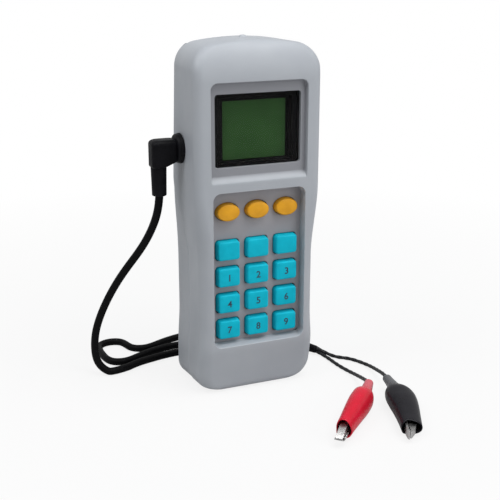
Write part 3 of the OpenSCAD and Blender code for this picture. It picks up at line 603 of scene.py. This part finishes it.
def front_relief(x, z):
    """How far the front is pressed in: a shallow display surround with a window well in
    its floor and a sloping sill below it, and a deep keypad well with its own sill."""
    lower = (SURROUND[0], SURROUND[1] - 5, SURROUND[2], SURROUND[3] + 10, SURROUND[4])
    wall = ease(-filled(x, z, lower) / 0.55)
    slope = (z - SILL_Z) / SILL_H
    sill = soft_plus(slope, 0.07) - soft_plus(slope - 1.0, 0.05)
    surround = SURROUND_IN * wall * np.clip(sill, 0, 1)
    well = WINDOW_IN * ease(-filled(x, z, WINDOW_WELL) / 0.4)
    pad = (PAD[0], PAD[1] - 0.6, PAD[2], PAD[3] + 1.2, PAD[4])
    low = ease((31.0 - z) / 3.4) * ease((23.4 - np.abs(x)) / 2.5)
    t = -filled(x, z, pad) / (0.42 + 1.2 * low)
    first = soft_plus(t, 0.04) - soft_plus(t - 0.75, 0.02)
    second = np.clip((t - 0.75) / 0.25, 0, 1)
    sunk = PAD_IN * np.clip(first / 0.75, 0, 1) + PAD_MORE_IN * second
    keypad = np.where(t > -0.4, sunk, 0.0)
    return surround + well + keypad


def front_case():
    """Level rings of the front shell. Each runs over the front face and its two corner
    rounds, back along the right side to the seam, across, and forward along the left
    side, where the lead socket is let in."""
    z, half, rear = [each[:, None] for each in case_levels()]
    y0, y1 = front_at(z), back_at(z)
    room = np.minimum(np.minimum(half, rear), (y1 - y0) / 2) - 0.3
    rf = np.minimum(room, CORNER_R + CORNER_MORE * ease((SHOULDER_Z - z) / SHOULDER_H))
    rb = np.minimum(room, CORNER_REAR_R)
    middle = np.linspace(0, 0.582, 20)
    dense = np.linspace(0.582, 0.748, 38)[1:]
    corner = np.linspace(0.748, 1.0, 12)[1:]
    k = np.concatenate([middle, dense, corner])
    k = np.concatenate([-k[:0:-1], k])[None, :]
    q = np.abs(k) * (half - rf + rf * np.pi / 2)
    turn = np.clip((q - (half - rf)) / rf, 0, np.pi / 2)
    x = np.sign(k) * (np.minimum(q, half - rf) + rf * np.sin(turn))
    y = y0 + rf * (1 - np.cos(turn))
    level = np.broadcast_to(z, x.shape)
    y = y + front_relief(x, level) * (level < 162)
    face = np.stack([x, y, level], -1)
    seam = np.minimum(seam_at(z), y1 - 0.02)

    def flank(depth):
        along = np.clip((depth - y0 - rf) / (y1 - rb - y0 - rf), 0, 1)
        bend = np.clip(depth - (y1 - rb), 0, rb)
        return half + (rear - half) * along - rb + np.sqrt(np.maximum(rb * rb - bend * bend, 0))

    def side(fractions, sign, socket):
        depth = y0 + rf + (seam - 0.22 - y0 - rf) * fractions[None, :]
        out = flank(depth)
        if socket:
            away = np.hypot(depth - SOCKET_Y, z - SOCKET_Z)
            out = out - SOCKET_IN * ease((SOCKET_R - away) / 0.45)
        return np.stack([sign * out, depth, np.broadcast_to(z, depth.shape)], -1)

    def lip(sign):
        edge = flank(seam)
        flat = [(edge - 0.22, seam), (edge - 1.6, seam)]
        pair = [np.concatenate([sign * np.maximum(a, 0.05), b, z], 1) for a, b in flat]
        return np.stack(pair, 1)

    right = side(np.linspace(0.08, 1, 9), 1, False)
    fine = np.concatenate([
        np.linspace(0.05, 0.38, 5, endpoint=False), np.linspace(0.38, 0.80, 36),
        np.linspace(0.82, 1.0, 5),
    ])
    left = side(fine[::-1], -1, True)
    rows = np.concatenate([face, right, lip(1), lip(-1)[:, ::-1], left], 1)
    obj = surface("front_case", rows, sharp=50.0)
    px, py, pz = points_of(obj.data).T / MM
    # Painted shade: the floor of the display surround is led to the darker tip colour the deeper
    # it is sunk, fading out at the sill.
    sunk = (py - front_at(pz)) / SURROUND_IN
    around = np.abs(px) < SURROUND[2] / 2 + 0.5
    around = around & (py < -10) & (pz > 111) & (pz < SURROUND[1] + SURROUND[3] / 2 + 0.5)
    surround_shade = np.where(around, ease((sunk - 0.1) / 0.8) * ease((pz - 112.2) / 2.4), 0.0)
    mark_points(obj, "surround", surround_shade)
    return obj


def rear_case():
    """Level rings of the rear shell, set in a little, with the wells for the battery door
    and the four screws pressed into its back."""
    z, half, rear = case_levels()
    extra = np.concatenate([np.linspace(15, 22, 26), np.linspace(84, 90.5, 26),
                            np.linspace(163.1, 170.6, 20)])
    order = np.argsort(z)
    half = np.concatenate([half, np.interp(extra, z[order], half[order])])
    rear = np.concatenate([rear, np.interp(extra, z[order], rear[order])])
    z = np.concatenate([z, extra])
    order = np.argsort(z, kind="stable")
    z, half, rear = z[order], half[order], rear[order]
    keep = (z < 174.7) & np.concatenate([[True], np.diff(z) > 0.12])
    keep &= ~((z > 23) & (z < 83) & (np.arange(len(z)) % 2 == 0))
    keep[0] = True
    z, half, rear = [each[keep][:, None] for each in (z, half, rear)]
    half, rear = half - REAR_INSET, rear - REAR_INSET
    y0, y1 = front_at(z) + 7.0, back_at(z) - REAR_INSET
    seam = seam_at(z) + SEAM_GAP
    room = np.minimum(rear, (y1 - front_at(z)) / 2) - 0.3
    rb = np.minimum(np.minimum(room, CORNER_REAR_R), np.maximum(0.3, y1 - seam - 0.25))
    k = np.concatenate([
        np.linspace(0, 0.40, 14), np.linspace(0.40, 0.47, 16)[1:], np.linspace(0.47, 0.52, 4)[1:],
        np.linspace(0.52, 0.80, 34)[1:], np.linspace(0.80, 1.0, 12)[1:],
    ])
    k = np.concatenate([-k[:0:-1], k])[None, :]
    q = np.abs(k) * (rear - rb + rb * np.pi / 2)
    turn = np.clip((q - (rear - rb)) / rb, 0, np.pi / 2)
    x = np.sign(k) * (np.minimum(q, rear - rb) + rb * np.sin(turn))
    y = y1 - rb * (1 - np.cos(turn))
    level = np.broadcast_to(z, x.shape)
    well = DOOR_IN * ease(-filled(x, level, DOOR_WELL) / 0.25)
    for across, up, deep in SCREW_WELLS:
        for sx in (-1, 1):
            away = np.hypot(x - sx * across, level - up)
            well = well + deep * ease((SCREW_R - away) / 0.4)
    back = np.stack([x, y - well, level], -1)[:, ::-1]

    def flank(depth):
        return half + (rear - half) * np.clip((depth - y0) / (y1 - rb - y0), 0, 1)

    def side(sign, fractions):
        depth = seam + 0.2 + (y1 - rb - seam - 0.2) * fractions[None, :]
        out = sign * flank(depth)
        return np.stack([out, depth, np.broadcast_to(z, depth.shape)], -1)

    def lip(sign):
        pair = [np.concatenate([sign * (flank(seam) - 1.5), seam, z], 1),
                np.concatenate([sign * (flank(seam) - 0.2), seam, z], 1)]
        return np.stack(pair, 1)

    steps = np.linspace(0, 1, 5, endpoint=False)
    rows = np.concatenate([
        lip(1), side(1, steps), back, side(-1, steps[::-1]), lip(-1)[:, ::-1]
    ], 1)
    return surface("rear_case", rows, sharp=50.0)


fit_out(front_case(), "case", case_grey, ["front_shell"])
fit_out(rear_case(), "case", case_grey, ["rear_shell"])
pip = turned("crown_pip", (0, 3.2, 176.9), (0, 3.2, 179.0), [
    (0.0, 2.3), (0.9, 2.15), (1.6, 1.75), (1.98, 1.2), (2.09, 0.6),
])
fit_out(pip, "case", case_grey)
dressed("battery_door", "case", case_grey)
dressed("case_screws", "case", bright_metal, 0.08)
dressed("door_screw", "case", bright_metal, 0.08)


# ---------------------------------------------------------------- display and keys

def plate(name, outline_size, corner, centre, y_front, y_back, edge, crown=0.0, oval=False,
          draft=0.0):
    """A flat or slightly crowned pad: its outline is carried from the back up the sides,
    which draw in by the draft, over a rounded edge, then shrunk to the centre over a low
    dome."""
    width, height = outline_size
    angle = np.linspace(0, 2 * np.pi, SIDES, endpoint=False) + np.pi / SIDES

    def outline(inset):
        if oval:
            return np.stack([(width / 2 - inset) * np.cos(angle),
                             (height / 2 - inset) * np.sin(angle)], -1)
        r = max(corner - inset, 0.25)
        return rounded_outline(width - 2 * inset, height - 2 * inset, r, SIDES // 4)

    rows = []
    for depth, part in ((y_back, 0.0), (0.4 * y_back + 0.6 * y_front, 0.5),
                        (y_front + edge * 1.02, 1.0)):
        flat = outline(draft * part)
        rows.append(np.column_stack([flat[:, 0], np.full(SIDES, depth), flat[:, 1]]))
    for a in np.linspace(0, np.pi / 2, 8)[1:]:
        flat = outline(draft + edge * (1 - np.cos(a)))
        depth = y_front + edge * (1 - np.sin(a)) + crown
        rows.append(np.column_stack([flat[:, 0], np.full(SIDES, depth), flat[:, 1]]))
    rim = outline(draft + edge)
    for f in (0.9, 0.75, 0.55, 0.3, 0.1):
        depth = y_front + crown * f * f
        rows.append(np.column_stack([rim[:, 0] * f, np.full(SIDES, depth), rim[:, 1] * f]))
    rows = np.array(rows) + np.array([centre[0], 0, centre[1]])
    return surface(name, rows, sharp=45.0)


window = plate("display_window_pane", (44.3, 34.9), 1.4, (0, 136), -16.7, -15.5, 0.2)
fit_out(window, "case", window_clear, ["display_window"])
panel = plate("display_panel", (41, 34), 0.6, (0, 135.5), -10.3, -7.9, 0.2)
fit_out(panel, "case", frame_black, ["lcd_panel"])
film = plate("display_film", (33.0, 28.5), 0.5, (0.5, 135.05), -10.36, -10.2, 0.03)
fit_out(film, "case", display_green)


def digit(name, text, centre, y_face):
    """A printed digit, made a mesh and laid on its key."""
    curve = bpy.data.curves.new(name, "FONT")
    curve.body = text
    curve.size = 4.9
    curve.offset = 0.09
    curve.extrude = 0.012
    curve.align_x = "CENTER"
    curve.align_y = "CENTER"
    drawn = bpy.data.objects.new(name + "_outline", curve)
    bpy.context.scene.collection.objects.link(drawn)
    bpy.context.view_layer.update()
    mesh = bpy.data.meshes.new_from_object(
        drawn.evaluated_get(bpy.context.evaluated_depsgraph_get()))
    bpy.data.objects.remove(drawn)
    flat = points_of(mesh)
    middle = (flat.max(0) + flat.min(0)) / 2
    placed = np.column_stack([
        flat[:, 0] - middle[0] + centre[0], y_face - flat[:, 2],
        flat[:, 1] - middle[1] + centre[1],
    ])
    mesh.vertices.foreach_set("co", (placed * MM).astype(np.float32).ravel())
    mesh.update()
    obj = bpy.data.objects.new(name, mesh)
    bpy.context.scene.collection.objects.link(obj)
    return obj


def oval_key(node, centre):
    """An amber key: an oval with a low crown."""
    cap = plate(node + "_top", OVAL_SIZE, 0, centre, KEY_FACE, KEY_BACK, 0.9,
                crown=0.35, oval=True, draft=0.3)
    fit_out(cap, node + "_cap", key_amber, [node])


def square_key(node, centre):
    """A cyan key: a rounded square whose sides slope a little."""
    cap = plate(node + "_top", KEY_SIZE, 2.0, centre, KEY_FACE, KEY_BACK, 0.9,
                crown=0.15, draft=0.45)
    fit_out(cap, node + "_cap", key_cyan, [node])


COLUMNS = (("left", -KEY_DX), ("middle", 0.0), ("right", KEY_DX))
for side_name, x in COLUMNS:
    oval_key("oval_key_" + side_name, (x, OVAL_Z))
    square_key("function_key_" + side_name, (x, KEY_TOP_Z))
for number in range(1, 10):
    row, column = divmod(number - 1, 3)
    spot = (COLUMNS[column][1], KEY_TOP_Z - (row + 1) * KEY_DZ)
    node_name = "key_%d" % number
    square_key(node_name, spot)
    mark = digit(node_name + "_digit", str(number), spot, KEY_FACE)
    fit_out(mark, node_name + "_cap", legend_ink)


# ---------------------------------------------------------------- crocodile clips

class Clip:
    """Where a clip lies: its wire end, roll, nose-down tilt and heading."""

    def __init__(self, origin, roll, tilt, heading):
        r, t, h = (math.radians(a) for a in (roll, tilt, heading))
        turn_x = np.array([[1, 0, 0], [0, math.cos(r), -math.sin(r)],
                           [0, math.sin(r), math.cos(r)]])
        turn_y = np.array([[math.cos(t), 0, math.sin(t)], [0, 1, 0],
                           [-math.sin(t), 0, math.cos(t)]])
        turn_z = np.array([[math.cos(h), -math.sin(h), 0], [math.sin(h), math.cos(h), 0],
                           [0, 0, 1]])
        self.turn = turn_z @ turn_y @ turn_x
        self.origin = np.asarray(origin, float)

    def place(self, points):
        """Points of the clip's own frame, laid on the table."""
        return np.asarray(points, float) @ self.turn.T + self.origin


# The boot's mouth and neck, how far back it is hollow, and its wall
BOOT_MOUTH, BOOT_NECK, BOOT_FLOOR, BOOT_WALL = 47.0, 12.5, 12.0, 0.55
# Where the sleeve starts and ends its passage from one jaw to the other
HINGE_X, BLEND_LOW, BLEND_HIGH = 29.5, 1.6, 4.6
# Distances from the wire end, then half widths, heights above and depths below
BOOT_AT = np.array([-4, 0, 6, 8, 10, 12, 14.6, 18, 23, 29, 35, 41, 47.0])
BOOT_W = np.array([2.2, 2.35, 2.9, 3.2, 4.1, 4.9, 5.3, 5.3, 5.35, 5.05, 4.6, 4.15, 3.8])
BOOT_UP = np.array([2.2, 2.35, 2.9, 3.1, 4.1, 5.5, 6.9, 7.9, 8.2, 8.0, 7.6, 7.2, 6.8])
BOOT_DOWN = np.array([2.2, 2.35, 2.9, 3.6, 5.3, 6.5, 7.0, 6.9, 6.1, 5.0, 4.2, 3.6, 3.2])


def boot_size(s, table):
    """Half size of the boot, the table's values eased by a short moving mean."""
    spans = np.linspace(-1.2, 1.2, 7)
    return sum(np.interp(s + d, BOOT_AT, table) for d in spans) / len(spans)


def boot(name, clip, wire):
    """Soft sleeve: outer stations from the wire to the mouth, whose sides are cut back a
    little, then inner stations back to the neck. The neck's centre line runs straight to
    where the wire enters."""
    angle = np.linspace(0, 2 * np.pi, 64, endpoint=False)
    mouth = BOOT_MOUTH - 1.2 * np.clip(1 - np.abs(np.sin(angle)) * 1.15, 0, 1) ** 1.3
    run = np.concatenate([np.linspace(0, 0.03, 4), np.linspace(0.05, 1, 46)])

    def skin(fractions, start, gap):
        s = start + (mouth[None, :] - start) * fractions[:, None]
        w = np.maximum(boot_size(s, BOOT_W) - gap, 0.4)
        h = np.where(np.sin(angle) > 0, boot_size(s, BOOT_UP), boot_size(s, BOOT_DOWN))
        h = np.maximum(h - gap, 0.4)
        bulge = 2.0 / 2.25
        c, d = np.cos(angle), np.sin(angle)
        across = w * np.sign(c) * np.abs(c) ** bulge
        up = h * np.sign(d) * np.abs(d) ** bulge
        rise = soft_plus(BOOT_NECK - s, 1.2) / (BOOT_NECK - wire[0])
        return np.stack([s, across + wire[1] * rise, up + wire[2] * rise], -1)

    outer = skin(run, wire[0], 0.0)
    ring = outer[0] - outer[0].mean(0)
    end = [outer[0].mean(0) + ring * f - np.array([d, 0, 0]) for f, d in
           ((0.45, 0.25), (0.72, 0.25), (0.9, 0.12))]
    inner = skin(np.linspace(1, 0.0, 30), BOOT_FLOOR, BOOT_WALL)
    lip = (outer[-1] + inner[0]) / 2 + np.array([0.22, 0, 0])
    rows = np.concatenate([np.array(end), outer, lip[None], inner])
    shape = rows.shape
    obj = surface(name, clip.place(rows.reshape(-1, 3)).reshape(shape), sharp=70.0)
    s = np.concatenate([rows[..., 0].ravel(), [wire[0], 14.0]])[:len(obj.data.vertices)]
    mark_points(obj, "neck", 1 - ease((s - 4.5) / 6.5))
    return obj


CLIPS = {
    "red": (Clip((47.5, -51.5, 8.2), 0, 4, 225), (-1.5, -1.5, 0.0), boot_red, "red_vinyl"),
    "black": (Clip((63.2, -49.0, 6.2), -90, 2, 246.5), (-3.5, 0.0, -3.8), boot_black,
              "black_vinyl"),
}
for tint, (clip, wire, vinyl, slot_name) in CLIPS.items():
    sleeve_piece = boot(tint + "_boot", clip, wire)
    sleeve_piece.data.materials.append(vinyl)
    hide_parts(tint + "_lower_boot", tint + "_upper_boot")
    low, high = clip.place([(HINGE_X, 0, BLEND_LOW), (HINGE_X, 0, BLEND_HIGH)]) * MM
    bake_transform(sleeve_piece)
    metal_parts = [
        dressed(tint + "_lower_jaw", "lead", bright_metal, 0.1),
        dressed(tint + "_hinge_pin", "lead", bright_metal, 0.08),
        dressed(tint + "_spring", "lead", bright_metal),
    ]
    dressed(tint + "_upper_jaw", tint + "_clip_top", bright_metal, 0.1)


# ---------------------------------------------------------------- floor, backdrop, light

def bench_surface():
    """Pale floor: a white diffuse sheet that shows nearly white to the camera and keeps a
    faint shadow near the case; it is plain white further off."""
    material = bpy.data.materials.new("bench_white")
    material.use_nodes = True
    tree = material.node_tree
    shader = tree.nodes["Principled BSDF"]
    shader.inputs["Roughness"].default_value = 0.85
    shader.inputs["Specular IOR Level"].default_value = 0.1
    place = tree.nodes.new("ShaderNodeTexCoord").outputs["Object"]
    patches = noise_of(tree, place, 0.3, 2.0, 0.5)
    tone = blend_of(tree, patches, (0.64, 0.64, 0.64), (0.62, 0.62, 0.625))
    link(tree, tone, shader.inputs["Base Color"])
    glow = tree.nodes.new("ShaderNodeEmission")
    glow.inputs["Strength"].default_value = 1.0
    rays = tree.nodes.new("ShaderNodeLightPath")
    distance = tree.nodes.new("ShaderNodeVectorMath")
    distance.operation = "LENGTH"
    link(tree, place, distance.inputs[0])
    seen = tree.nodes.new("ShaderNodeMath")
    seen.operation = "MULTIPLY"
    link(tree, spread(tree, distance.outputs["Value"], 0.12, 0.45, 0.84, 1.0), seen.inputs[1])
    link(tree, rays.outputs["Is Camera Ray"], seen.inputs[0])
    mixed = tree.nodes.new("ShaderNodeMixShader")
    link(tree, seen.outputs[0], mixed.inputs[0])
    link(tree, shader.outputs[0], mixed.inputs[1])
    link(tree, glow.outputs[0], mixed.inputs[2])
    link(tree, mixed.outputs[0], tree.nodes["Material Output"].inputs["Surface"])
    return material


reach = 3.0
floor_mesh = bpy.data.meshes.new("bench_floor")
floor_mesh.from_pydata(
    [(-reach, -reach, 0), (reach, -reach, 0), (reach, reach, 0), (-reach, reach, 0)],
    [], [(0, 1, 2, 3)])
floor = bpy.data.objects.new("bench_floor", floor_mesh)
floor.data.materials.append(bench_surface())
bpy.context.scene.collection.objects.link(floor)
floor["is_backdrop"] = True

world = bpy.data.worlds.new("studio")
bpy.context.scene.world = world
world.use_nodes = True
tree = world.node_tree
background = tree.nodes["Background"]
background.inputs["Color"].default_value = (1, 1, 1, 1)
rays = tree.nodes.new("ShaderNodeLightPath")
shown = tree.nodes.new("ShaderNodeMath")
shown.operation = "MAXIMUM"
link(tree, rays.outputs["Is Camera Ray"], shown.inputs[0])
link(tree, rays.outputs["Is Transmission Ray"], shown.inputs[1])
glossy = tree.nodes.new("ShaderNodeMath")
glossy.operation = "MULTIPLY"
glossy.inputs[1].default_value = 0.45
link(tree, rays.outputs["Is Glossy Ray"], glossy.inputs[0])
whole = tree.nodes.new("ShaderNodeMath")
whole.operation = "MAXIMUM"
link(tree, shown.outputs[0], whole.inputs[0])
link(tree, glossy.outputs[0], whole.inputs[1])
link(tree, spread(tree, whole.outputs[0], 0, 1, 0.30, 1.0), background.inputs["Strength"])


def soft_box(name, place, aim, size, power):
    """A square lamp at place that faces aim."""
    lamp = bpy.data.lights.new(name, "AREA")
    lamp.shape = "SQUARE"
    lamp.size = size
    lamp.energy = power
    obj = bpy.data.objects.new(name, lamp)
    obj.location = place
    run = np.array(aim, float) - np.array(place, float)
    run /= np.linalg.norm(run)
    pitch = math.acos(-run[2])
    heading = math.atan2(run[1], run[0]) - math.pi / 2
    obj.rotation_euler = (pitch, 0.0, heading)
    bpy.context.scene.collection.objects.link(obj)


soft_box("overhead", (0.25, -0.35, 1.1), (0, 0, 0.1), 0.8, 10.2)
soft_box("front_fill", (0.55, -0.75, 0.45), (0, 0, 0.1), 0.5, 2.6)
soft_box("left_top", (-0.35, -0.05, 0.55), (-0.03, 0, 0.17), 0.3, 1.4)

bpy.context.scene.view_settings.view_transform = "Standard"

low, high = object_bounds()
